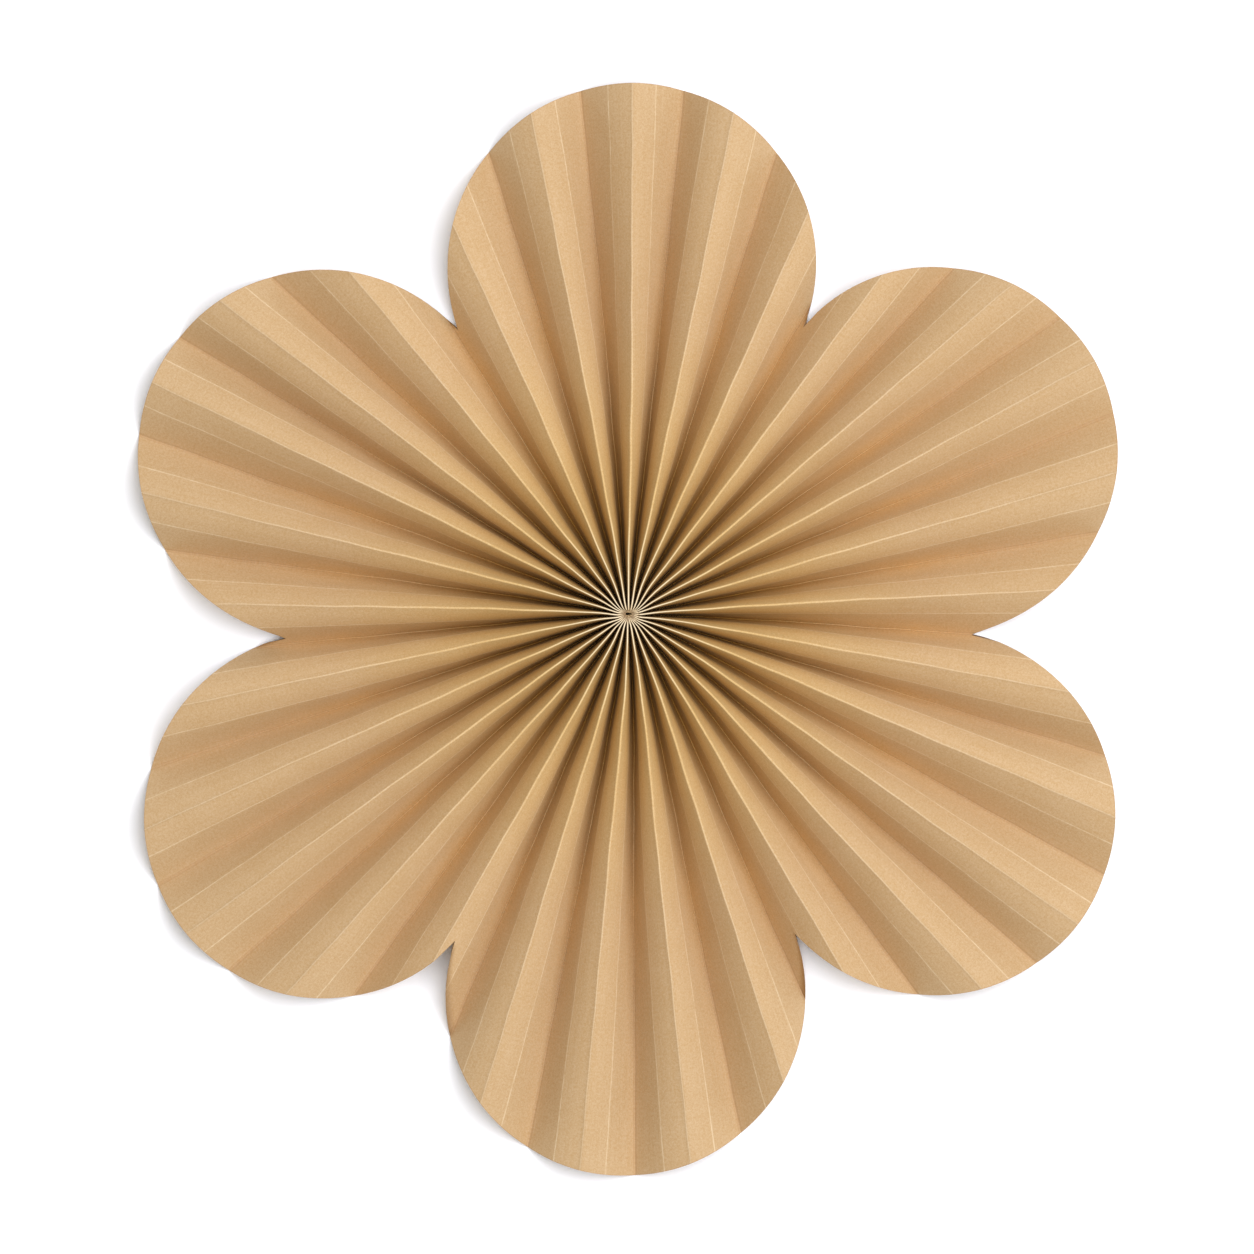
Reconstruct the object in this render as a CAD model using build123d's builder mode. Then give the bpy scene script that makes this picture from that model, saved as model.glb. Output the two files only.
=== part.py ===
"""Paper fan rosette: a pleated ring of kraft paper cut to a six-petal flower, lying on its back.

A long strip of kraft paper is folded into narrow pleats and closed into a ring. Its inner edge
is drawn together on a thread, so that the folds fan out from a pinched hub, and its outer edge
is cut to six round petals. The valley folds all lie in one plane, the flat back of the rosette.

Millimetres. The origin is the hub, where the folds meet, on the plane of the back.
+Z is up, out of the front face, and +Y points to the top petal.
"""

from build123d import *
import os
from math import atan2, cos, degrees, exp, hypot, radians, sin, sqrt, tan

# The flower that the outer edge is cut to
petal_count = 6
petal_radius = 66.8
petal_circle_radius = 131.2
hub_rise = 7.5  # the hub sits this far above the flower's centre, towards the top petal

# The flower was cut freehand: taller than wide, largest at the top, and a little out of square
upright_stretch = 2.1
top_growth = 0.9
petal_lean = 1.1
petal_lean_angle = -28.0

# The folded strip
pleat_count = 29
paper_thickness = 0.3
fold_gap = 0.12  # the room left inside a fold between its two panels
rim_rise = 12.0  # height of a ridge where a petal reaches furthest from the hub
panel_bow = 1.6  # each panel bends outwards along its middle, by nearly this much at the rim
bow_reach = 60.0  # how gradually the panels bend away from the hub

# How unevenly the pleats were spread, as shares of an even pleat, with their angles in degrees
side_spread = 0.02
side_spread_angle = 88.0
oval_spread = 0.03
oval_spread_angle = 78.0
petal_spread = 0.053
petal_spread_angle = 31.0
joint_spread = 1.55  # the pleats beside the joint of the strip's two ends are the widest
joint_angle = 329.0
joint_reach = 4.4

# Towards the rim the folds fan out from a point beside the hub. Near the hub they bend to it.
fan_offset_x = 1.24
fan_offset_y = 1.03
bend_reach = 25.0
bend_sharpness = 1.2

# The pinched hub, where neighbouring pleats touch and close the slots between them
closed_slot = 0.06
tip_height = 0.9  # the folds stand this proud of the closed hub, front and back
slit_length = 2.2
slit_width = 0.7
slit_depth = 7.0
slit_rim = 0.3  # crushed paper round the ends of the slit

# The thread through the punched inner ends of the panels, which holds the hub together
thread_diameter = 0.8
thread_clearance = 0.05
thread_sides = 6

# How closely the gentle curve of a ridge is followed, and how far the pleats overrun the cut
spans = 7
station_crowding = 0.7
cut_allowance = 3.0
flat_enough = 0.001


def spread(angle):
    """Relative width of a pleat, from the place in the ring where an even pleat would lie."""
    turn = radians(angle)
    off_joint = (angle - joint_angle + 180.0) % 360.0 - 180.0
    share = 1.0 + side_spread * cos(turn - radians(side_spread_angle))
    share += oval_spread * cos(2.0 * (turn - radians(oval_spread_angle)))
    share += petal_spread * cos(petal_count * (turn - radians(petal_spread_angle)))
    return share + joint_spread * exp(-((off_joint / joint_reach) ** 2))


# Angles are in degrees, clockwise from the top petal. A ridge runs up the middle of its pleat.
even_pleat = 360.0 / pleat_count
shares = [spread(n * even_pleat) for n in range(pleat_count)]
widths = [360.0 * share / sum(shares) for share in shares]
valleys = [sum(widths[:n]) - widths[0] / 2.0 for n in range(pleat_count)]
ridges = [valley + width / 2.0 for valley, width in zip(valleys, widths)]

# The panels are all of one width, so a ridge sinks as its pleat opens towards the rim
fold_width = 2.0 * paper_thickness + fold_gap
reach = hub_rise + petal_circle_radius + upright_stretch + petal_radius
open_slope = sin(radians(even_pleat) / 2.0)
panel_width = hypot(rim_rise, reach * open_slope)

# Places along the pleats, as distances from the hub, from the pinch to past the cut. They are
# closer together towards the rim, where the ridges fall fastest.
half_angles = [radians(width) / 2.0 for width in widths]
pinch_radius = (fold_width + closed_slot) / 2.0 / sin(min(half_angles))
run = reach + cut_allowance - pinch_radius
stations = [pinch_radius + run * (n / spans) ** station_crowding for n in range(spans + 1)]
heart_radius = slit_length / 2.0 + slit_rim
thread_ring_radius = (heart_radius + pinch_radius) / 2.0


def ridge_height(station):
    """Height of the ridges at a distance from the hub."""
    return sqrt(panel_width**2 - (station * open_slope) ** 2)


def plan(angle, distance):
    """Point of the plan at an angle and a distance from the hub."""
    return distance * sin(radians(angle)), distance * cos(radians(angle))


def fan_middle(station):
    """Point of the plan that the folds fan out from where they are this far along."""
    settled = 1.0 - exp(-(((station - pinch_radius) / bend_reach) ** bend_sharpness))
    return Vector(fan_offset_x, fan_offset_y) * settled


def across(middle, angle, distance):
    """Upright plane square to a fold, facing outwards, at a distance from the middle of the fan."""
    outward = Vector(*plan(angle, 1.0))
    sideways = Vector(0, 0, 1).cross(outward)
    return Plane(origin=middle + outward * distance, x_dir=sideways, z_dir=outward)


def pleat_section(station, half_angle):
    """Corners of one pleat cut across: the paper's front from ridge to valley, then its back."""
    half = station * sin(half_angle)
    height = ridge_height(station)
    slope = atan2(height - paper_thickness, half - fold_width)
    fold = fold_width / 2.0
    inner = fold - paper_thickness * tan(slope / 2.0)
    bow = panel_bow * (1.0 - exp(-(station - pinch_radius) / bow_reach))
    middle = (half + fold - inner) / 2.0 + bow * sin(slope)
    middle_height = height / 2.0 + bow * cos(slope)
    front = [(fold, height), (middle, middle_height + paper_thickness / 2.0)]
    front += [(half - inner, paper_thickness), (half, paper_thickness)]
    shift = fold - inner
    back = [(half, 0.0), (half - fold, 0.0)]
    back += [(middle - shift, middle_height - paper_thickness / 2.0), (inner, height - paper_thickness)]
    right_side = front + back
    return right_side + [(-x, z) for x, z in reversed(right_side)]


def petal(angle):
    """Centre and radius of the petal that is due at an angle round the flower's centre."""
    turn = radians(angle)
    lean = petal_lean * cos(2.0 * (turn - radians(petal_lean_angle)))
    distance = petal_circle_radius + upright_stretch * cos(2.0 * turn) + top_growth * cos(turn)
    x, y = plan(angle + lean, distance)
    return (x, y - hub_rise), petal_radius + top_growth * cos(turn)


def panel_facets(near, far, near_next, far_next):
    """The paper between two sections: one flat face, or two that meet in a soft diagonal bend."""
    corners = (near, near_next, far_next, far)
    twist = (near_next - near).cross(far - near).normalized().dot(far_next - near)
    if abs(twist) < flat_enough:
        return [Face(Wire.make_polygon(corners))]
    if near.Z > near_next.Z:
        halves = ((near, near_next, far_next), (near, far_next, far))
    else:
        halves = ((near, near_next, far), (near_next, far_next, far))
    return [Face(Wire.make_polygon(half)) for half in halves]


def pleat(ridge, half_angle):
    """One pleat from the hub to past the cut, mitred along both valleys to meet its neighbours."""
    sections = []
    for station in stations:
        plane = across(fan_middle(station), ridge, station * cos(half_angle))
        corners = pleat_section(station, half_angle)
        sections.append([plane.from_local_coords(Vector(x, z)) for x, z in corners])
    faces = [Face(Wire.make_polygon(sections[0])), Face(Wire.make_polygon(sections[-1]))]
    for inner, outer in zip(sections, sections[1:]):
        for n in range(len(inner)):
            faces += panel_facets(inner[n - 1], outer[n - 1], inner[n], outer[n])
    return Solid(Shell(faces))


def hub_star(tips):
    """Plan of the hub's crushed heart and of the fold tips round it, each between two angles."""
    with BuildSketch(mode=Mode.PRIVATE) as star:
        Circle(heart_radius)
        for first, last in tips:
            Polygon([(0.0, 0.0), plan(first, reach), plan(last, reach)], align=None)
        Polygon(hub_corners, align=None, mode=Mode.INTERSECT)
    return star.sketch


def ring_section(diameter):
    """Section of a ring round the hub, where the thread runs through the panels."""
    with BuildSketch(Plane.XZ, mode=Mode.PRIVATE) as section:
        with Locations((thread_ring_radius, hub_top / 2.0)):
            RegularPolygon(diameter / 2.0, thread_sides)
    return section.sketch


petals = [petal(360.0 * n / petal_count) for n in range(petal_count)]

# The hub in plan: where the valleys end, and the angles between which each fold's end lies
hub_top = ridge_height(pinch_radius)
hub_corners = [plan(valley, pinch_radius) for valley in valleys]
ridge_tips = []
panel_starts = []
for ridge, half_angle in zip(ridges, half_angles):
    inner_end = pinch_radius * cos(half_angle)
    crown_side = degrees(atan2(fold_width / 2.0, inner_end))
    valley_side = degrees(atan2(pinch_radius * sin(half_angle) - fold_width / 2.0, inner_end))
    ridge_tips.append((ridge - crown_side, ridge + crown_side))
    panel_starts.append((ridge - valley_side, ridge + valley_side))
valley_tips = [
    (before[1], after[0])
    for before, after in zip(panel_starts[-1:] + panel_starts[:-1], panel_starts)
]

# The folded and cut strip of paper
with BuildPart() as pleated_sheet:
    # The hub: closed between the inner ends of the pleats, with the tips of the valley folds
    # proud of it behind and the tips of the ridge folds in front
    with BuildSketch():
        add(hub_star(valley_tips))
    extrude(amount=tip_height)
    with BuildSketch(Plane.XY.offset(tip_height)):
        Polygon(hub_corners, align=None)
    extrude(amount=hub_top - 2.0 * tip_height)
    with BuildSketch(Plane.XY.offset(hub_top - tip_height)):
        add(hub_star(ridge_tips))
    extrude(amount=tip_height)

    # The slit left between the inner edges, and the channel of punched holes for the thread
    with BuildSketch(Plane.XY.offset(hub_top)):
        SlotOverall(slit_length, slit_width)
    extrude(amount=-slit_depth, mode=Mode.SUBTRACT)
    with BuildSketch(Plane.XZ):
        add(ring_section(thread_diameter + 2.0 * thread_clearance))
    revolve(axis=Axis.Z, mode=Mode.SUBTRACT)

    add([pleat(ridge, half_angle) for ridge, half_angle in zip(ridges, half_angles)])

    # The flower that everything is cut to: its petals, and the middle between them
    with BuildSketch():
        for centre, radius in petals:
            with Locations(centre):
                Circle(radius)
        Polygon([centre for centre, radius in petals], align=None)
    extrude(amount=2.0 * panel_width, both=True, mode=Mode.INTERSECT)
pleated_sheet.part.label = "pleated_sheet"

# The thread, a ring drawn tight through the panels
with BuildPart() as gather_thread:
    with BuildSketch(Plane.XZ):
        add(ring_section(thread_diameter))
    revolve(axis=Axis.Z)
gather_thread.part.label = "gather_thread"

os.makedirs("parts", exist_ok=True)
export_step(pleated_sheet.part, "parts/pleated_sheet.step")
export_step(gather_thread.part, "parts/gather_thread.step")
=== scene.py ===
"""Looks of a paper fan rosette: pleated kraft paper, gathered at its hub and cut to six petals.

The paper is one sheet, built fold by fold with a front, a back and a cut edge. Its hub lies at the
origin and its valley folds on the plane z = 0. Sizes are in millimetres until a mesh is made, and
angles in degrees clockwise from the top petal.
"""

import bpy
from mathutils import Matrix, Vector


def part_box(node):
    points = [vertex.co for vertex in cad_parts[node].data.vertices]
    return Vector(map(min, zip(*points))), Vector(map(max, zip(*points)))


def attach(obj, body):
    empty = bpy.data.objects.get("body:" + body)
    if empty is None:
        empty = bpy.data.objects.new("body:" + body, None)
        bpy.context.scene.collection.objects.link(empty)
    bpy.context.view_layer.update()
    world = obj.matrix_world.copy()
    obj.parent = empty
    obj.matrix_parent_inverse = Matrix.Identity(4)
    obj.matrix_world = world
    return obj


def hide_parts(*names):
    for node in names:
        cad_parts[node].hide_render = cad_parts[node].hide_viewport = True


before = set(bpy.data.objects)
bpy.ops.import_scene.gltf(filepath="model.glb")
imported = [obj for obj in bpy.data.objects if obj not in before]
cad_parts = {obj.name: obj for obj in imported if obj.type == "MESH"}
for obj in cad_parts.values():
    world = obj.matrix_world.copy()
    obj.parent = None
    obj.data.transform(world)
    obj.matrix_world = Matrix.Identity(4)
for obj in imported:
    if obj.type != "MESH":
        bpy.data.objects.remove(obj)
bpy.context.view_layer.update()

from types import SimpleNamespace

import bpy
import numpy as np
from mathutils import Vector

MM = 0.001
TURN = 2.0 * np.pi

# The flower that the outer edge is cut to
petal_count = 6
petal_radius = 66.8
petal_circle_radius = 131.2
hub_rise = 7.5
upright_stretch = 2.1
top_growth = 0.9
petal_lean = 1.1
petal_lean_angle = -28.0

# The notches, clockwise from the top petal, were cut by hand: each ends this much further out than
# where the circles of its petals meet, or further in where negative. The change fades out within
# an angle of its tip
notch_changes = (-6.0, 9.0, 4.0, -3.0, 9.0, 1.0)
notch_narrow = 0.8
notch_fade = 15.0

# The folded strip
pleat_count = 29
paper_thickness = 0.3
fold_gap = 0.12
rim_rise = 12.0
panel_bow = 1.6
bow_reach = 60.0

# How unevenly the pleats were spread
side_spread = 0.02
side_spread_angle = 88.0
oval_spread = 0.03
oval_spread_angle = 78.0
petal_spread = 0.053
petal_spread_angle = 31.0
joint_spread = 1.55
joint_angle = 329.0
joint_reach = 4.4

# The pinched hub and the thread in it
closed_slot = 0.06
slit_length = 2.2
slit_width = 0.7
slit_depth = 7.0
thread_diameter = 0.8

# Away from the hub the folds fan out from a point beside it, and they bend to the hub near it
fan_offset = np.array([1.24, 1.03])
bend_reach = 25.0
bend_sharpness = 1.2

# The pull of the thread also turns the folds a little, and draws them more along one diagonal
gather_twist = -0.25
gather_oval = 0.53
gather_oval_angle = 63.0
gather_start = 8.0
gather_reach = 75.0

# Ridges are pressed sharp at the hub and spring open away from it. A panel's bow is part crease, a
# little nearer to its ridge than to its valley, and part soft curl, strongest beside the ridge
sharp_crest = 0.30
crest_opening = 0.25
crest_reach = 45.0
crease_share = 0.5
crease_place = 0.42
crease_width = 0.035
curl_skew = 0.8

# Marks of handwork: how far folds stray sideways and in height, and over what lengths
fold_waver = 0.22
ridge_waver = 0.25
waver_lengths = (23.0, 41.0, 97.0)
waver_start = 25.0
bow_unevenness = 0.5

# The gathered hub is squeezed between the top petal and the bottom one, and sags towards the
# bottom one. The slit is narrower at its right end
hub_squeeze = 0.425
hub_sag = 0.8
hub_fade = 4.5
slit_taper = 0.3

# The crushed ends of the folds: the grooves between them are deeper at the hub's rim, all of them
# sink towards the slit, and crumples carry on in part from one ring of the hub to the next
groove_depth = 0.4
groove_growth = 0.9
slit_sink = 0.35
crumple_carry = 0.7
first_ring = 0.15

# Walls of the slit, as shares of the way from its middle to its edge. It is shallow at the back
wall_shares = (0.9, 0.94, 0.98)
brim_drop = 0.2
back_wall_share = 0.4
back_slit_depth = 0.8

# How finely the paper is divided
arc_steps = 3
upper_steps = 4
lower_steps = 6
paper_rows = 36
row_crowding = 1.4
hub_rows = 8
crumples = 19
cut_rounds = 8
notch_rounds = 4
sharp_from = 50.0

# Seeds of the random draws
ridge_seed = 11
bow_seed = 12
fold_seed = 13
valley_seed = 14
crumple_seed = 21


# Layout of the folds

def spread(angle):
    """Relative width of a pleat, from the place in the ring where an even pleat would lie."""
    turn = np.radians(angle)
    off_joint = (angle - joint_angle + 180.0) % 360.0 - 180.0
    share = 1.0 + side_spread * np.cos(turn - np.radians(side_spread_angle))
    share += oval_spread * np.cos(2.0 * (turn - np.radians(oval_spread_angle)))
    share += petal_spread * np.cos(petal_count * (turn - np.radians(petal_spread_angle)))
    return share + joint_spread * np.exp(-((off_joint / joint_reach) ** 2))


shares = spread(np.arange(pleat_count) * 360.0 / pleat_count)
widths = 360.0 * shares / shares.sum()
ridges = np.cumsum(widths) - widths / 2.0 - widths[0] / 2.0
half_angles = np.radians(widths) / 2.0

fold_width = 2.0 * paper_thickness + fold_gap
outer_radius = fold_width / 2.0
inner_radius = outer_radius - paper_thickness
reach = hub_rise + petal_circle_radius + upright_stretch + petal_radius
open_slope = np.sin(np.pi / pleat_count)
panel_width = np.hypot(rim_rise, reach * open_slope)
pinch_radius = (fold_width + closed_slot) / 2.0 / np.sin(half_angles.min())


def ridge_height(distance):
    """Height of the ridges at a distance from the hub."""
    return np.sqrt(panel_width**2 - (distance * open_slope) ** 2)


hub_top = ridge_height(pinch_radius)


def petal(angle):
    """Centre and radius of the petal that is due at an angle round the flower's centre."""
    turn = np.radians(angle)
    lean = petal_lean * np.cos(2.0 * (turn - np.radians(petal_lean_angle)))
    distance = petal_circle_radius + upright_stretch * np.cos(2.0 * turn)
    distance += top_growth * np.cos(turn)
    bearing = np.radians(angle + lean)
    centre = np.array([distance * np.sin(bearing), distance * np.cos(bearing) - hub_rise])
    return centre, petal_radius + top_growth * np.cos(turn)


petals = [petal(360.0 * n / petal_count) for n in range(petal_count)]


def cut_distance(bearing):
    """Distance to the cut edge from where the folds fan out, along bearings in radians."""
    direction = np.stack([np.sin(bearing), np.cos(bearing)])
    furthest = np.zeros_like(bearing)
    for centre, radius in petals:
        centre = centre - fan_offset
        along = np.tensordot(centre, direction, axes=1)
        inside = radius**2 - (centre @ centre - along**2)
        hit = along + np.sqrt(np.maximum(inside, 0.0))
        furthest = np.maximum(furthest, np.where(inside > 0.0, hit, 0.0))
    for notch, change in zip(notch_bearings(), notch_changes):
        off = np.degrees(np.abs((bearing - notch + np.pi) % TURN - np.pi))
        fade = np.clip(1.0 - off / notch_fade, 0.0, 1.0) / (1.0 + off / notch_narrow)
        furthest = furthest + change * fade
    return furthest


def notch_bearings():
    """Bearings of the notches between neighbouring petals, from where the folds fan out."""
    found = []
    for (one, one_radius), (two, two_radius) in zip(petals, petals[1:] + petals[:1]):
        apart = np.hypot(*(two - one))
        along = (apart**2 + one_radius**2 - two_radius**2) / 2.0 / apart
        aside = np.sqrt(one_radius**2 - along**2)
        unit = (two - one) / apart
        outward = np.array([-unit[1], unit[0]])
        notch = one + unit * along + outward * aside - fan_offset
        found.append(np.arctan2(notch[0], notch[1]))
    return found


# Shape of the paper

def pleat_columns():
    """The lines that run along the folds: which pleat and side each is on, and where across it.

    A pleat's lines go from one valley over its ridge to just before the next valley. A line on a
    fold's bend has its place as a share of the bend, and one on a panel as a share of its width.
    """
    bend = np.linspace(0.0, 1.0, arc_steps + 1)
    upper = np.linspace(0.0, crease_place - crease_width, upper_steps + 1)[1:]
    lower = np.linspace(crease_place + crease_width, 1.0, lower_steps + 1)[:-1]
    flat = np.concatenate([upper, [crease_place], lower])
    kind = ["valley"] * len(bend) + ["panel"] * len(flat) + ["ridge"] * len(bend)
    place = np.concatenate([bend, flat[::-1], bend[::-1]])
    side = -np.ones(len(place))
    kind = kind + kind[::-1][1:-1]
    place = np.concatenate([place, place[::-1][1:-1]])
    side = np.concatenate([side, np.ones(len(place) - len(side))])
    return SimpleNamespace(
        pleat=np.repeat(np.arange(pleat_count), len(place)),
        side=np.tile(side, pleat_count),
        kind=np.tile(np.array(kind), pleat_count),
        place=np.tile(place, pleat_count),
        each=len(place),
    )


def waver(distance, fold, seed, size):
    """Slow unevenness along each fold, up to about size either way, and none at the hub."""
    chance = np.random.default_rng(seed)
    total = np.zeros_like(distance)
    for length in waver_lengths:
        phase = chance.uniform(0.0, TURN, pleat_count)
        total += np.sin(TURN * distance / length + phase[fold])
    start = np.clip((distance - pinch_radius) / waver_start, 0.0, 1.0)
    return size * start * total / len(waver_lengths)


def section(distance, columns, back):
    """The paper's front or back cut across, at distances from the hub: offset from the ridge,
    height, share of the way from ridge to valley, and how far over the paper each fold line is."""
    past_pinch = distance - pinch_radius
    crest = sharp_crest + crest_opening * (1.0 - np.exp(-((past_pinch / crest_reach) ** 2)))
    crown = crest - paper_thickness if back else crest
    foot = outer_radius if back else inner_radius
    half = distance * np.sin(half_angles)[columns.pleat]
    height = ridge_height(distance) + waver(distance, columns.pleat, ridge_seed, ridge_waver)
    height = np.minimum(height, hub_top)
    rise = height - crest - outer_radius
    slope = np.arctan2(rise, half) + np.arcsin((crest + inner_radius) / np.hypot(half, rise))
    turned = np.where(columns.kind == "panel", slope, columns.place * slope)
    ridge_across = crown * np.sin(turned)
    ridge_up = height - crest + crown * np.cos(turned)
    valley_across = half - foot * np.sin(turned)
    valley_up = outer_radius - foot * np.cos(turned)
    on_ridge, in_valley = columns.kind == "ridge", columns.kind == "valley"
    share = np.select([on_ridge, in_valley], [0.0, 1.0], columns.place)
    chance = np.random.default_rng(bow_seed)
    unevenness = chance.uniform(-bow_unevenness, bow_unevenness, (2, pleat_count))
    strength = 1.0 + unevenness[(columns.side > 0).astype(int), columns.pleat]
    crease = np.minimum(share / crease_place, (1.0 - share) / (1.0 - crease_place))
    curl = 4.0 * share * (1.0 - share) * (1.0 + curl_skew * (1.0 - 2.0 * share))
    bow = panel_bow * strength * (1.0 - np.exp(-past_pinch / bow_reach))
    bow = bow * (crease_share * crease + (1.0 - crease_share) * curl)
    across = (1.0 - share) * ridge_across + share * valley_across + bow * np.sin(slope)
    up = (1.0 - share) * ridge_up + share * valley_up + bow * np.cos(slope)
    over_ridge = crown * np.where(on_ridge, turned, slope)
    over_valley = foot * np.where(in_valley, turned, slope)
    marks = SimpleNamespace(
        from_ridge=over_ridge + share * panel_width,
        from_valley=over_valley + (1.0 - share) * panel_width,
        from_crease=np.abs(share - crease_place) * panel_width,
    )
    return across, up, share, marks


def pleated(distance, columns, back):
    """Points on the paper at distances along the folds: bearing, distance, height and marks."""
    across, up, share, marks = section(distance, columns, back)
    along = distance * np.cos(half_angles)[columns.pleat]
    plan_distance = np.hypot(along, across)
    next_valley = (columns.pleat + (columns.side > 0)) % pleat_count
    stray = (1.0 - share) * waver(distance, columns.pleat, fold_seed, fold_waver)
    stray += share * waver(distance, next_valley, valley_seed, fold_waver)
    bearing = np.radians(ridges)[columns.pleat] + columns.side * np.arctan2(across, along)
    start = 1.0 - np.exp(-(distance - pinch_radius) / gather_start)
    oval = gather_oval * np.cos(2.0 * (bearing - np.radians(gather_oval_angle)))
    stray += start * np.exp(-((distance / gather_reach) ** 4)) * (gather_twist + oval)
    return SimpleNamespace(
        bearing=bearing + stray / plan_distance, distance=plan_distance, up=up, marks=marks
    )


def reach_cut(columns, back):
    """Distance along the folds at which each line of the paper meets the cut edge."""
    distance = np.full(len(columns.place), reach)
    for _ in range(cut_rounds):
        points = pleated(distance, columns, back)
        distance = distance * cut_distance(points.bearing) / points.distance
    return distance


def meet_notches(columns):
    """Moves the panel line nearest to each notch onto it, so that the cut turns there sharply."""
    for notch in notch_bearings():
        for _ in range(notch_rounds):
            distance = reach_cut(columns, False)
            bearing = pleated(distance, columns, False).bearing
            off = (notch - bearing + np.pi) % TURN - np.pi
            off = np.where(columns.kind == "panel", off, TURN)
            nearest = np.argmin(np.abs(off))
            step = off[nearest] / half_angles[columns.pleat[nearest]] * columns.side[nearest]
            columns.place[nearest] += step


def placed(points):
    """Points in space from bearings, distances and heights, with the hub gathered."""
    past_pinch = np.maximum(points.distance - pinch_radius, 0.0)
    settled = 1.0 - np.exp(-((past_pinch / bend_reach) ** bend_sharpness))
    near = np.exp(-((past_pinch / hub_fade) ** 2))
    x = points.distance * np.sin(points.bearing)
    y = points.distance * np.cos(points.bearing)
    upright = np.cos(points.bearing) ** 2
    sunk = near * (hub_squeeze * y * upright + hub_sag * (1.0 + upright) / 2.0)
    x = x + fan_offset[0] * settled
    y = y + fan_offset[1] * settled - sunk
    return np.stack([x, y, points.up], axis=-1)


def slit_distance(bearing):
    """Distance from the middle of the slit to its edge, along bearings in radians."""
    end = slit_width / 2.0 * (1.0 - slit_taper * np.sin(bearing))
    straight = slit_length / 2.0 - end
    across = np.abs(np.sin(bearing))
    along = np.abs(np.cos(bearing))
    to_side = end / np.maximum(along, 1e-6)
    to_end = straight * across + np.sqrt(np.maximum(end**2 - (straight * along) ** 2, 0.0))
    return np.where(to_side * across <= straight, to_side, to_end)


def hub_ring(columns, bearing, plan, up):
    """One ring of points in the crushed hub, with their marks."""
    half = half_angles[columns.pleat]
    off_ridge = np.abs((bearing - np.radians(ridges)[columns.pleat] + np.pi) % TURN - np.pi)
    distance = np.hypot(plan[:, 0], plan[:, 1])
    marks = SimpleNamespace(
        from_ridge=distance * off_ridge,
        from_valley=distance * np.maximum(half - off_ridge, 0.0),
        from_crease=np.full(len(bearing), panel_width),
    )
    return np.column_stack([plan, up]), marks


def hub_rings(columns, bearing, rim, back):
    """Crushed ends of the folds, from the hub's middle out to its rim, where the pleats begin."""
    chance = np.random.default_rng(crumple_seed + back)
    knots = np.arange(crumples + 1) * TURN / crumples
    share = np.where(columns.kind == "panel", columns.place, (columns.kind == "valley") * 1.0)
    groove = 1.0 - share if back else share
    crumple = chance.uniform(0.0, 1.0, crumples)
    edge = slit_distance(bearing)[:, None] * np.column_stack([np.sin(bearing), np.cos(bearing)])
    rings = []
    for n in range(hub_rows):
        out = (n + first_ring) / hub_rows
        fresh = chance.uniform(0.0, 1.0, crumples)
        crumple = crumple_carry * crumple + (1.0 - crumple_carry) * fresh
        crushed = np.interp(bearing % TURN, knots, np.append(crumple, crumple[0]))
        dip = (groove_depth + groove_growth * out**2) * groove + crushed
        dip = dip + slit_sink * (1.0 - out) ** 2
        plan = edge + (rim[:, :2] - edge) * out
        rings.append(hub_ring(columns, bearing, plan, dip if back else hub_top - dip))
    brim = rings[0][0][:, 2]
    if back:
        walls = [(back_wall_share, np.full(len(brim), back_slit_depth))]
    else:
        bottom = np.full(len(brim), hub_top - slit_depth)
        walls = list(zip(wall_shares, [bottom, (brim + bottom) / 2.0, brim - brim_drop]))
    return [hub_ring(columns, bearing, edge * part, up) for part, up in walls] + rings


def skin(columns, back):
    """All rows of the paper's front or back, from the hub's middle to the cut edge, as points in
    space and how far over the paper each is from its fold lines."""
    last = reach_cut(columns, back)
    shares_out = np.linspace(0.0, 1.0, paper_rows + 1) ** row_crowding
    distance = pinch_radius + (last - pinch_radius) * shares_out[:, None]
    points = pleated(distance, columns, back)
    pleats = placed(points)
    rings = hub_rings(columns, points.bearing[0], pleats[0], back)
    marks = {}
    for name in vars(points.marks):
        over_hub = [getattr(ring_marks, name) for _, ring_marks in rings]
        over_pleats = np.broadcast_to(getattr(points.marks, name), distance.shape)
        marks[name] = np.vstack(over_hub + [over_pleats])
    rows = np.stack([ring for ring, _ in rings])
    return np.concatenate([rows, pleats]), SimpleNamespace(**marks)


def grid_faces(rows, count, order):
    """The faces between rows of points, each as the numbers of its four corners in an order."""
    line = np.arange(count)
    beside = np.roll(line, -1)
    row = np.arange(rows - 1)[:, None] * count
    corners = [row + line, row + beside, row + count + beside, row + count + line]
    return np.stack([corners[k] for k in order], axis=-1).reshape(-1, 4)


def corner_places(columns, from_ridge, distance, back, order):
    """Where the corners of those faces lie on the flat sheet: along the strip and from the hub."""
    rows, count = distance.shape
    along = (columns.side * from_ridge).reshape(rows, pleat_count, -1)
    along = np.concatenate([along, -np.roll(along, -1, axis=1)[:, :, :1]], axis=2)
    along = along + 2.0 * panel_width * (np.arange(pleat_count)[:, None] + back * pleat_count)
    places = []
    for down, on in [((0, 0), (0, 1), (1, 1), (1, 0))[k] for k in order]:
        u = along[down : rows - 1 + down, :, on : on + columns.each].reshape(rows - 1, count)
        v = np.roll(distance, -on, axis=1)[down : rows - 1 + down]
        places.append(np.stack([u, v], axis=-1))
    return np.stack(places, axis=2).reshape(-1, 2)


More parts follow.
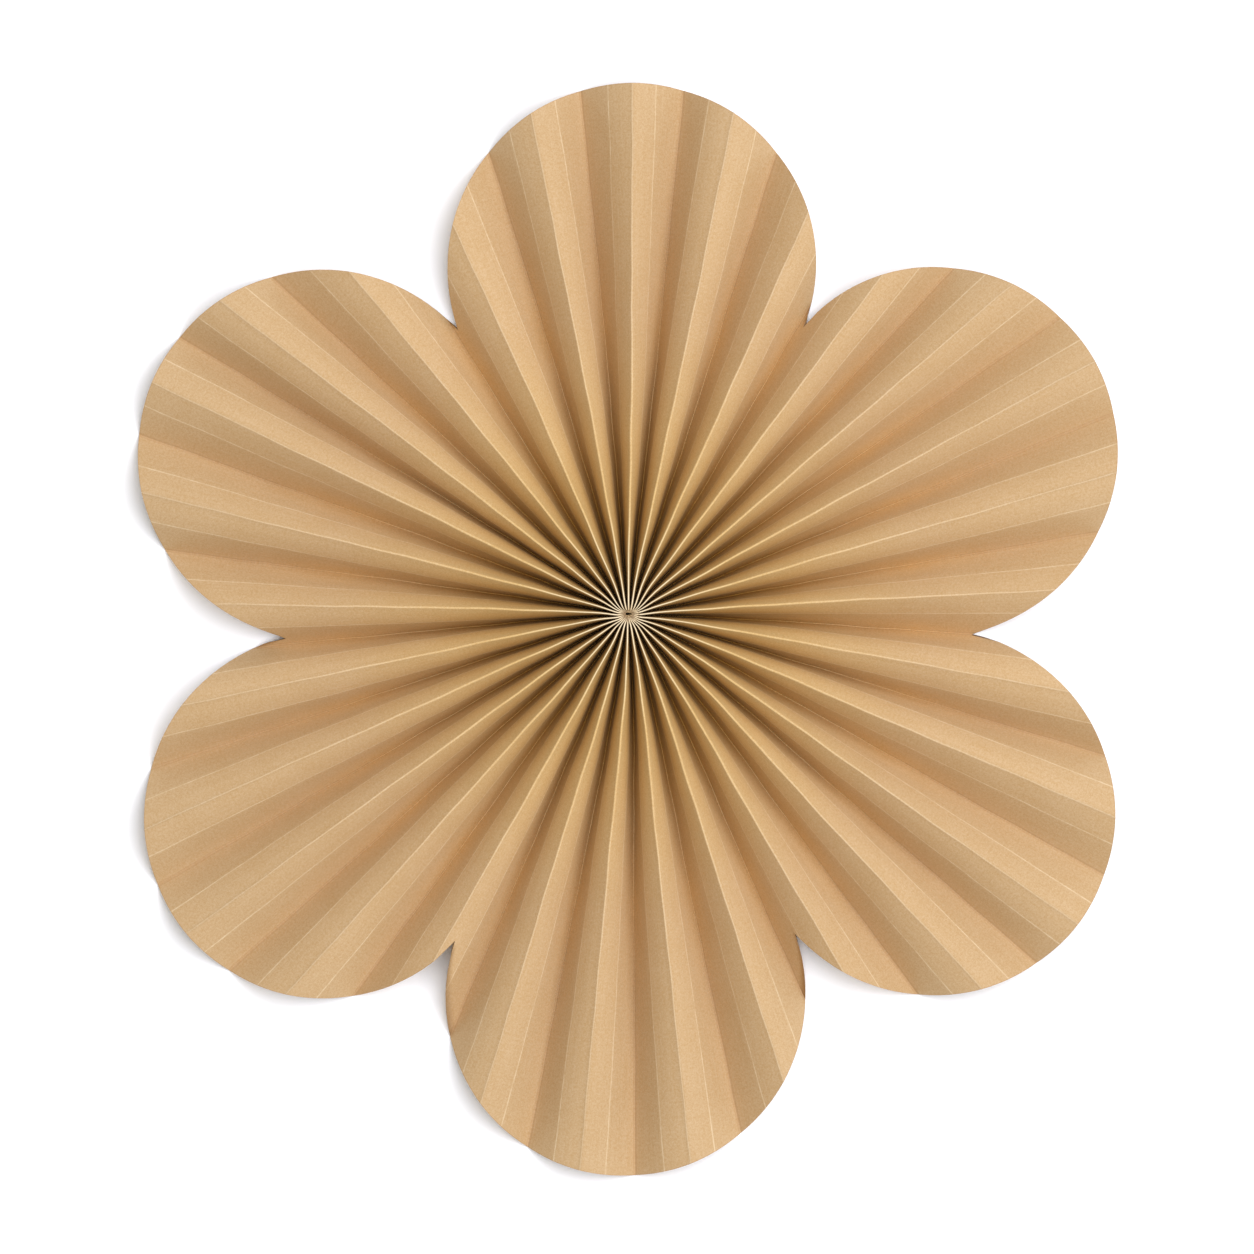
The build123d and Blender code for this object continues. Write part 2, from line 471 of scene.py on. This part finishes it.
def paper_sheet():
    """The whole sheet as one closed mesh: its points, its faces, where their corners lie on the
    flat sheet, and how far each point is from the folds, a crease and the cut."""
    columns = pleat_columns()
    meet_notches(columns)
    count = len(columns.place)
    line = np.arange(count)
    beside = np.roll(line, -1)
    nowhere = np.zeros((4 * count, 2))
    verts, faces, places, marks, rims = [], [], [], [], []
    first = 0
    for back in (False, True):
        points, lines = skin(columns, back)
        rows = len(points)
        distance = np.linalg.norm(points[:, :, :2], axis=2)
        order = [3, 2, 1, 0] if back else [0, 1, 2, 3]
        folds = [lines.from_ridge, lines.from_valley]
        folds = folds[::-1] if back else folds
        each_mark = folds + [lines.from_crease, distance[-1] - distance]

        # The slit's bottom is a fan of three-cornered faces, each given as four with the last twice
        middle = first + rows * count
        fan = np.stack([line * 0 + middle, first + beside, first + line, first + line], axis=-1)
        fan = fan[:, [0, 2, 1, 1]] if back else fan
        verts += [points.reshape(-1, 3), points[0].mean(axis=0)[None]]
        faces += [grid_faces(rows, count, order) + first, fan]
        places += [corner_places(columns, lines.from_ridge, distance, back, order), nowhere]
        marks += [np.stack(each_mark, axis=-1).reshape(-1, 4), np.zeros((1, 4))]
        rims.append(middle - count + line)
        first = middle + 1
    front_rim, back_rim = rims
    cut_strip = [back_rim, np.roll(back_rim, -1), np.roll(front_rim, -1), front_rim]
    faces.append(np.stack(cut_strip, axis=-1))
    places.append(nowhere)
    return [np.concatenate(part) for part in (verts, faces, places, marks)]


def new_object(name, points, faces, material):
    """A mesh object from points in millimetres."""
    mesh = bpy.data.meshes.new(name)
    mesh.from_pydata((points * MM).tolist(), [], faces)
    mesh.materials.append(material)
    made = bpy.data.objects.new(name, mesh)
    bpy.context.scene.collection.objects.link(made)
    return made


def make_paper(material):
    """The pleated sheet of kraft paper."""
    points, quads, places, marks = paper_sheet()
    faces = [tuple(dict.fromkeys(quad)) for quad in quads.tolist()]
    paper = new_object("pleated_paper", points, faces, material)
    mesh = paper.data
    keep = np.ones((len(quads), 4), bool)
    keep[:, 3] = quads[:, 2] != quads[:, 3]
    layer = mesh.uv_layers.new(name="sheet")
    layer.uv.foreach_set("vector", places[keep.ravel()].astype(np.float32).ravel())
    for n, name in enumerate(["from_ridge", "from_valley", "from_crease", "from_cut"]):
        mark = mesh.attributes.new(name, "FLOAT", "POINT")
        mark.data.foreach_set("value", marks[:, n].astype(np.float32))
    mesh.shade_smooth()
    mesh.set_sharp_from_angle(angle=np.radians(sharp_from))
    return paper


# Thread

plies = 2
ply_turns = 14
ply_radius = thread_diameter / 4.0
thread_segments = 168
ply_sides = 10


def make_thread(material):
    """The two-ply cotton thread that draws the inner ends of the panels together."""
    low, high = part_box("gather_thread")
    ring_radius = (high[0] - low[0]) / MM / 2.0 - thread_diameter / 2.0
    ring_up = (high[2] + low[2]) / MM / 2.0
    turn = np.arange(thread_segments) * TURN / thread_segments
    points, faces = [], []
    for ply in range(plies):
        twist = ply_turns * turn + ply * TURN / plies
        middle_out = ring_radius + ply_radius * np.cos(twist)
        middle_up = ring_up + ply_radius * np.sin(twist)
        round_ply = np.arange(ply_sides) * TURN / ply_sides
        out = middle_out[:, None] + ply_radius * np.cos(round_ply)
        up = middle_up[:, None] + ply_radius * np.sin(round_ply)
        x = out * np.sin(turn)[:, None]
        y = out * np.cos(turn)[:, None]
        first = ply * thread_segments * ply_sides
        points.append(np.stack([x, y, up], axis=-1).reshape(-1, 3))
        for n in range(thread_segments):
            after = (n + 1) % thread_segments
            for k in range(ply_sides):
                beside = (k + 1) % ply_sides
                quad = [(n, k), (n, beside), (after, beside), (after, k)]
                faces.append([first + a * ply_sides + b for a, b in quad])
    thread = new_object("twisted_thread", np.concatenate(points), faces, material)
    thread.data.shade_smooth()
    return thread


# Finishes

class Wire:
    """What comes out of a node. Sums, products and the like of wires add Math nodes."""

    def __init__(self, finish, socket):
        self.finish = finish
        self.socket = socket

    def __add__(self, other):
        return self.finish.maths("ADD", self, other)

    def __radd__(self, other):
        return self.finish.maths("ADD", other, self)

    def __sub__(self, other):
        return self.finish.maths("SUBTRACT", self, other)

    def __rsub__(self, other):
        return self.finish.maths("SUBTRACT", other, self)

    def __mul__(self, other):
        return self.finish.maths("MULTIPLY", self, other)

    def __rmul__(self, other):
        return self.finish.maths("MULTIPLY", other, self)

    def __truediv__(self, other):
        return self.finish.maths("DIVIDE", self, other)

    def __rtruediv__(self, other):
        return self.finish.maths("DIVIDE", other, self)

    def clamped(self):
        """The value, held between 0 and 1."""
        return self.finish.maths("ADD", self, 0.0, clamp=True)

    def within(self, width):
        """1 where a distance is 0, falling to 0 where it is width."""
        return (1.0 - self / width).clamped()

    def around(self, place, width):
        """1 where a distance is place, falling to 0 at width either side of there."""
        return self.finish.maths("ABSOLUTE", self - place).within(width)

    def beyond(self, low, high):
        """0 where a value is up to low, 1 where it is high or more."""
        return ((self - low) / (high - low)).clamped()


class Finish:
    """A material, built up node by node."""

    def __init__(self, name):
        self.material = bpy.data.materials.new(name)
        self.material.use_nodes = True
        self.tree = self.material.node_tree
        self.tree.nodes.clear()

    def node(self, kind, settings, sockets, output=0):
        """Adds a node, with its settings first, then the values or wires of its sockets.

        Gives the wire from one of its outputs, if it has any.
        """
        made = self.tree.nodes.new(kind)
        for name, value in settings.items():
            setattr(made, name, value)
        for name, value in sockets.items():
            socket = made.inputs[name]
            if isinstance(value, Wire):
                self.tree.links.new(value.socket, socket)
            else:
                socket.default_value = (*value, 1.0) if socket.type == "RGBA" else value
        return Wire(self, made.outputs[output]) if len(made.outputs) else None

    def maths(self, operation, first, second=0.0, clamp=False):
        """Two numbers put together, or one changed, and held between 0 and 1 if clamp is set."""
        settings = {"operation": operation, "use_clamp": clamp}
        return self.node("ShaderNodeMath", settings, {0: first, 1: second})

    def mark(self, name):
        """A number that the mesh carries at each of its points."""
        return self.node("ShaderNodeAttribute", {"attribute_name": name}, {}, "Fac")

    def place(self):
        """Where a point is in the object, in metres."""
        return self.node("ShaderNodeTexCoord", {}, {}, "Object")

    def coordinate(self, place, axis):
        """One coordinate of a place: 0 is x, 1 is y and 2 is z."""
        return self.node("ShaderNodeSeparateXYZ", {}, {0: place}, axis)

    def stretched(self, place, by):
        """A place with each of its coordinates multiplied by its own number."""
        return self.node("ShaderNodeVectorMath", {"operation": "MULTIPLY"}, {0: place, 1: by})

    def noise(self, place, size, detail=2.0, roughness=0.5, distortion=0.0):
        """Cloudy pattern from 0 to 1, with spots of about size: a number, or one for each way."""
        by = tuple(1.0 / each for each in size) if isinstance(size, tuple) else (1.0 / size,) * 3
        sockets = {"Vector": self.stretched(place, by), "Scale": 1.0, "Detail": detail}
        sockets.update({"Roughness": roughness, "Distortion": distortion})
        return self.node("ShaderNodeTexNoise", {}, sockets)

    def mix(self, amount, first, second, blend="MIX"):
        """A first colour turned into a second by an amount from 0 to 1.

        The node's inputs 6 and 7 and its output 2 are the ones for colours.
        """
        settings = {"data_type": "RGBA", "blend_type": blend}
        return self.node("ShaderNodeMix", settings, {0: amount, 6: first, 7: second}, 2)

    def shaded(self, colour, tone):
        """The colour made lighter or darker by a tone about 1."""
        sockets = {0: colour, "Scale": tone}
        return self.node("ShaderNodeVectorMath", {"operation": "SCALE"}, sockets)

    def bump(self, height, depth):
        """Surface normal of a relief whose height of 1 stands for a depth in millimetres."""
        sockets = {"Strength": 1.0, "Distance": depth * MM, "Height": height}
        return self.node("ShaderNodeBump", {}, sockets)

    def surface(self, sockets):
        """The material, once its last node has the sockets of its surface."""
        shader = self.node("ShaderNodeBsdfPrincipled", {}, sockets)
        self.node("ShaderNodeOutputMaterial", {}, {"Surface": shader})
        return self.material


# The paper's colours, the tints of painted shade that deepen them, and the darks of painted shade
# between its folds and in its slit
kraft_light = (0.585, 0.405, 0.222)
kraft_deep = (0.495, 0.306, 0.127)
kraft_pale = (0.90, 0.77, 0.53)
kraft_dark = (0.34, 0.19, 0.08)
hub_shade_tint = (1.0, 0.98, 0.62)
slot_shade_tint = (1.0, 0.88, 0.55)
valley_shade_tint = (1.0, 0.93, 0.25)
crown_shade = (0.17, 0.075, 0.02)
slit_shadow = (0.03, 0.02, 0.01)

# The paper's fibres: how wide each kind of spot is, and how strongly it shows. Streaks and patches
# lie along the folds, so they have a width across and a length
cloud_size, cloud_strength = 14.0, 0.4
mottle_size, mottle_strength = 0.9, 2.2
speckle_size, speckle_strength = 0.4, 1.8
fleck_size, fleck_strength = 2.2, 0.5
streak_size, streak_strength = (0.9, 30.0, 1.0), 0.7
patch_size, patch_least, patch_strength = (2.0, 4.0, 1.0), 0.6, 0.8
crowd_size = (3.0, 1.5, 1.0)

# Their relief, as shares of its depth, and how matt they are
mottle_relief, fleck_relief, streak_relief = 0.6, 0.5, 0.3
fibre_depth = 0.03
paper_roughness, mottle_roughness = 0.72, 0.12

# How wide lines and shades are beside the folds and the cut edge
valley_width = 9.0
far_valley_width = 11.0
ridge_shade_width = 1.0
valley_shade_width = 0.6
ridge_line = 0.5
fine_ridge_line = 0.3
crease_line = 0.4
valley_line = 0.3
groove_line = 0.22
cut_line = 0.4

# Bands beside the folds: how far off the middle of each is, and how far it reaches either way
flank_band = (13.0, 7.0)
valley_edge_band = (0.7, 0.45)
crown_side_band = (0.5, 0.42)

# How far from the hub lines and shades reach
hub_tint_reach = 110.0
flank_reach = 100.0
valley_reach = 85.0
slot_reach = 75.0
wear_reach = 42.0
crown_side_reach = 33.0
hub_shade_reach = 30.0
groove_reach = 9.0
slit_reach = 1.4

# How far from the hub each begins to show, and where it is full
hub_tint_start = (2.0, 7.0)
valley_start = (0.0, 40.0)
rim_start = (95.0, 180.0)
ridge_shade_start = (45.0, 60.0)
valley_shade_start = (90.0, 120.0)
wear_start = (0.3, 4.5)
far_wear_start = (60.0, 90.0)
crown_side_start = (2.0, 4.0)
groove_start = (0.6, 2.0)

# Rings round the hub: how far out the middle of each is, and how far it reaches either way
far_valley_ring = (105.0, 35.0)
middle_ring = (65.0, 35.0)
valley_wear_ring = (75.0, 35.0)

# Where slots begin, over the paper from the ridge, and the dark of the slit, down from its top
slot_start = (2.0, 8.0)
slit_start = (1.8, 3.0)

# Levels of the cloudy patterns from which creases show more, and from which grooves are crowded
crease_patches = (0.8, 1.1)
crowd_patches = (0.4, 0.6)

# How strongly the lines and tints show, both the pale wear and the painted shade
hub_tint_least = 0.4
far_valley_tint = 0.2
base_wear = 0.02
far_ridge_wear = 0.14
crease_wear, crease_patch_wear = 0.12, 0.28
valley_wear = 0.25
valley_edge_shade = 0.4
valley_shade = 0.3
groove_shade, crowded_shade = 0.6, 1.8
slit_shade = 4.0
cut_shade = 0.5

# How strongly painted light and shade make the paper lighter or darker by where it is
rim_shade = 0.13
hub_shade = 0.25
valley_glow = 0.33
far_valley_glow = 0.14
middle_glow = 0.08
flank_shade = 0.42
ridge_shade = 0.08


def kraft_paper():
    """Uncoated kraft paper, worn pale along its folds and, by painted shade, deeper in colour
    towards the hub.
    """
    kraft = Finish("kraft_paper_finish")
    sheet = kraft.node("ShaderNodeUVMap", {"uv_map": "sheet"}, {})
    from_hub = kraft.coordinate(sheet, 1)
    from_ridge = kraft.mark("from_ridge")
    from_valley = kraft.mark("from_valley")
    from_crease = kraft.mark("from_crease")
    from_cut = kraft.mark("from_cut")

    # Fibres
    clouds = kraft.noise(sheet, cloud_size, detail=3.0)
    mottle = kraft.noise(sheet, mottle_size, detail=3.0, roughness=0.6)
    speckle = kraft.noise(sheet, speckle_size, detail=1.0)
    flecks = kraft.noise(sheet, fleck_size, detail=2.0, distortion=0.8)
    streaks = kraft.noise(sheet, streak_size, detail=3.0, roughness=0.6)
    grain = mottle_strength * (mottle - 0.5) + fleck_strength * (flecks - 0.5)
    grain = grain + streak_strength * (streaks - 0.5) + cloud_strength * (clouds - 0.5)
    grain = grain + speckle_strength * (speckle - 0.5)
    colour = kraft.mix((0.5 + grain).clamped(), kraft_deep, kraft_light)

    # Painted shade: the colour deepens towards the hub, down in the slots and beside the valleys
    reached = from_hub.within(hub_tint_reach)
    off_middle = hub_tint_least + (1.0 - hub_tint_least) * from_hub.beyond(*hub_tint_start)
    colour = kraft.mix(reached * off_middle, colour, hub_shade_tint, "MULTIPLY")
    in_slot = from_hub.within(slot_reach) * from_ridge.beyond(*slot_start)
    colour = kraft.mix(in_slot, colour, slot_shade_tint, "MULTIPLY")
    in_valley = from_valley.within(valley_width) * from_hub.within(valley_reach)
    in_valley = in_valley * from_hub.beyond(*valley_start)
    colour = kraft.mix(in_valley, colour, valley_shade_tint, "MULTIPLY")
    far_valley = from_valley.within(far_valley_width) * from_hub.around(*far_valley_ring)
    colour = kraft.mix(far_valley_tint * far_valley, colour, valley_shade_tint, "MULTIPLY")

    # Painted light and shade: darker towards the rim, near the hub, across the flanks and on the
    # far ridges, lighter in the valleys and midway out
    tone = 1.0 - rim_shade * from_hub.beyond(*rim_start)
    tone = tone - hub_shade * from_hub.within(hub_shade_reach)
    tone = tone + valley_glow * in_valley + far_valley_glow * far_valley
    tone = tone + middle_glow * from_hub.around(*middle_ring)
    flank = from_ridge.around(*flank_band) * from_hub.within(flank_reach)
    far_ridge = from_ridge.within(ridge_shade_width) * from_hub.beyond(*ridge_shade_start)
    tone = tone - flank_shade * flank - ridge_shade * far_ridge
    colour = kraft.shaded(colour, tone)

    # Ridges, creases and valleys worn pale by folding, unevenly, and valleys darkened at their
    # edges by painted shade
    patchy = patch_least + patch_strength * kraft.noise(sheet, patch_size)
    rubbed = base_wear + from_hub.within(wear_reach) * from_hub.beyond(*wear_start)
    far_rubbed = far_ridge_wear * from_hub.beyond(*far_wear_start)
    worn = from_ridge.within(ridge_line) * rubbed
    worn = worn + from_ridge.within(fine_ridge_line) * far_rubbed
    colour = kraft.mix((worn * patchy).clamped(), colour, kraft_pale)
    creased = crease_wear + crease_patch_wear * patchy.beyond(*crease_patches)
    colour = kraft.mix(from_crease.within(crease_line) * creased, colour, kraft_pale)
    pressed = from_valley.within(valley_line) * valley_wear * from_hub.around(*valley_wear_ring)
    colour = kraft.mix(pressed, colour, kraft_pale)
    edge_shade = valley_edge_shade * from_valley.around(*valley_edge_band)
    far_shade = valley_shade * from_valley.within(valley_shade_width)
    far_shade = far_shade * from_hub.beyond(*valley_shade_start)
    colour = kraft.mix(edge_shade + far_shade, colour, kraft_dark)

    # Painted shade on the sides of the crowns and in the grooves between them, where they crowd
    # together at the hub
    crown_side = from_ridge.around(*crown_side_band) * from_hub.within(crown_side_reach)
    crown_side = crown_side * from_hub.beyond(*crown_side_start)
    colour = kraft.mix(crown_side, colour, crown_shade)
    crowded = kraft.noise(sheet, crowd_size, detail=1.0).beyond(*crowd_patches)
    grooved = from_valley.within(groove_line) * from_hub.beyond(*groove_start)
    grooved = grooved * from_hub.within(groove_reach)
    grooved = grooved * (groove_shade + crowded_shade * crowded)
    colour = kraft.mix(grooved.clamped(), colour, crown_shade)

    # Painted shadow deep in the slit, and the browner cut edge
    height = kraft.coordinate(kraft.place(), 2)
    in_slit = from_hub.within(slit_reach) * (hub_top - height / MM).beyond(*slit_start)
    colour = kraft.mix((slit_shade * in_slit).clamped(), colour, slit_shadow)
    colour = kraft.mix(cut_shade * from_cut.within(cut_line), colour, kraft_dark)

    relief = mottle * mottle_relief + flecks * fleck_relief + streaks * streak_relief
    return kraft.surface({
        "Base Color": colour,
        "Roughness": paper_roughness + mottle_roughness * mottle,
        "Normal": kraft.bump(relief, fibre_depth),
    })


cotton_colour = (0.62, 0.52, 0.38)
cotton_fibre = 0.08
cotton_depth = 0.02
cotton_tone, cotton_fibre_tone = 0.85, 0.3
cotton_roughness, cotton_fibre_roughness = 0.8, 0.1


def cotton():
    """Cotton thread, matt, with a fine grain of fibres."""
    thread = Finish("cotton_finish")
    fibres = thread.noise(thread.place(), cotton_fibre * MM, detail=3.0)
    return thread.surface({
        "Base Color": thread.shaded(cotton_colour, cotton_tone + cotton_fibre_tone * fibres),
        "Roughness": cotton_roughness + cotton_fibre_roughness * fibres,
        "Normal": thread.bump(fibres, cotton_depth),
    })


floor_colour = (0.98, 0.98, 0.98)
floor_roughness = 0.9


def floor_finish():
    """The pale, matt ground that the rosette lies on."""
    ground = Finish("floor_finish")
    return ground.surface({"Base Color": floor_colour, "Roughness": floor_roughness})


# The rosette

paper = make_paper(kraft_paper())
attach(paper, "root")
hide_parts("pleated_sheet")

thread = make_thread(cotton())
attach(thread, "root")
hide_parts("gather_thread")

# Floor, light and camera

floor_size = 12000.0
floor_drop = 0.3
sky_light = 0.49
sky_colour = (1.03, 1.0, 0.91, 1.0)
corners = np.array([(-1, -1, 0), (1, -1, 0), (1, 1, 0), (-1, 1, 0)]) * floor_size / 2.0
corners[:, 2] = -floor_drop
floor = new_object("floor", corners, [(0, 1, 2, 3)], floor_finish())

world = bpy.data.worlds.new("studio")
bpy.context.scene.world = world
world.use_nodes = True
world.node_tree.nodes["Background"].inputs["Color"].default_value = sky_colour
world.node_tree.nodes["Background"].inputs["Strength"].default_value = sky_light

# A wide soft light, high on the right. Its sizes are in metres
key_bearing = np.radians(70.0)
key_elevation = np.radians(71.0)
key_distance = 2.5
key_size = 3.0
key_power = 92.0
key_colour = (0.98, 1.0, 1.1)
key = bpy.data.objects.new("key_light", bpy.data.lights.new("key_light", "AREA"))
key.data.shape = "DISK"
key.data.size = key_size
key.data.energy = key_power
key.data.color = key_colour
towards = Vector((
    np.sin(key_bearing) * np.cos(key_elevation),
    np.cos(key_bearing) * np.cos(key_elevation),
    np.sin(key_elevation),
))
key.location = towards * key_distance
key.rotation_mode = "QUATERNION"
key.rotation_quaternion = (-towards).to_track_quat("-Z", "Y")
bpy.context.scene.collection.objects.link(key)

# The photograph looks straight down from far off. Its frame, in millimetres of the rosette
frame_width = 459.7
view_middle = (-0.62, -4.77)
view_height = 8000.0
sensor_width = 36.0
camera = bpy.data.objects.new("camera", bpy.data.cameras.new("camera"))
camera.data.sensor_width = sensor_width
camera.data.lens = sensor_width * view_height / frame_width
camera.data.clip_end = 2.0 * view_height * MM
camera.location = Vector((*view_middle, view_height)) * MM
bpy.context.scene.collection.objects.link(camera)
bpy.context.scene.camera = camera
bpy.context.scene.view_settings.view_transform = "Standard"
